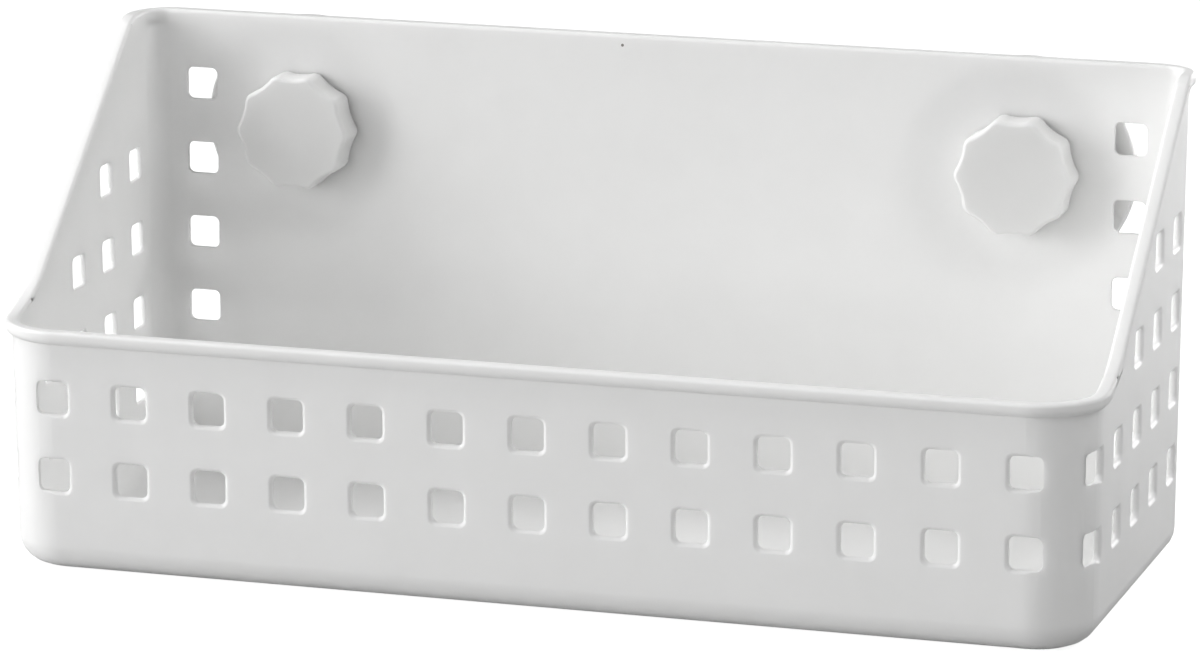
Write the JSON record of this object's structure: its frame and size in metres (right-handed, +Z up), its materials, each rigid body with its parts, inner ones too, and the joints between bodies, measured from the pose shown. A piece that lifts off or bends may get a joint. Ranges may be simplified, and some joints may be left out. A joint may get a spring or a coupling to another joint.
{
  "type": "hay feeder box",
  "caption": "Open basket with a low front, high back, sloping sides and square holes; screw clamps hold it on cage wires.",
  "frame": {"origin": "centre of the basket's flat base face, on the plane it stands on", "axes": "+Z up; +X to the right seen from the low front; +Y towards the high back, where the clamps grip the cage wires"},
  "size_m": [0.2606, 0.1225, 0.1135],
  "materials": {
    "basket": "white satin moulded polypropylene",
    "bolt": "white satin moulded nylon",
    "disc": "white satin moulded nylon"
  },
  "bodies": {
    "box": {"basket": "basket"},
    "bolt_left": {"thumb_bolt_left": "bolt"},
    "disc_left": {"clamp_disc_left": "disc"},
    "bolt_right": {"thumb_bolt_right": "bolt"},
    "disc_right": {"clamp_disc_right": "disc"}
  },
  "joints": [
    {"name": "bolt_left_turn", "type": "hinge", "parent": "box", "child": "bolt_left", "pos_m": [-0.0882, 0.0486, 0.0867], "axis": [0, 1, 0], "range_deg": [-1080, 90]},
    {"name": "disc_left_travel", "type": "slide", "parent": "box", "child": "disc_left", "axis": [0, -1, 0], "range_m": [-0.00901, 0.00076]},
    {"name": "bolt_right_turn", "type": "hinge", "parent": "box", "child": "bolt_right", "pos_m": [0.0882, 0.0486, 0.0867], "axis": [0, 1, 0], "range_deg": [-1080, 90]},
    {"name": "disc_right_travel", "type": "slide", "parent": "box", "child": "disc_right", "axis": [0, -1, 0], "range_m": [-0.00901, 0.00076]}
  ],
  "couplings": [
    {"joint": "disc_left_travel", "follows": "bolt_left_turn", "m_per_rad": 0.00047746},
    {"joint": "disc_right_travel", "follows": "bolt_right_turn", "m_per_rad": 0.00047746}
  ]
}
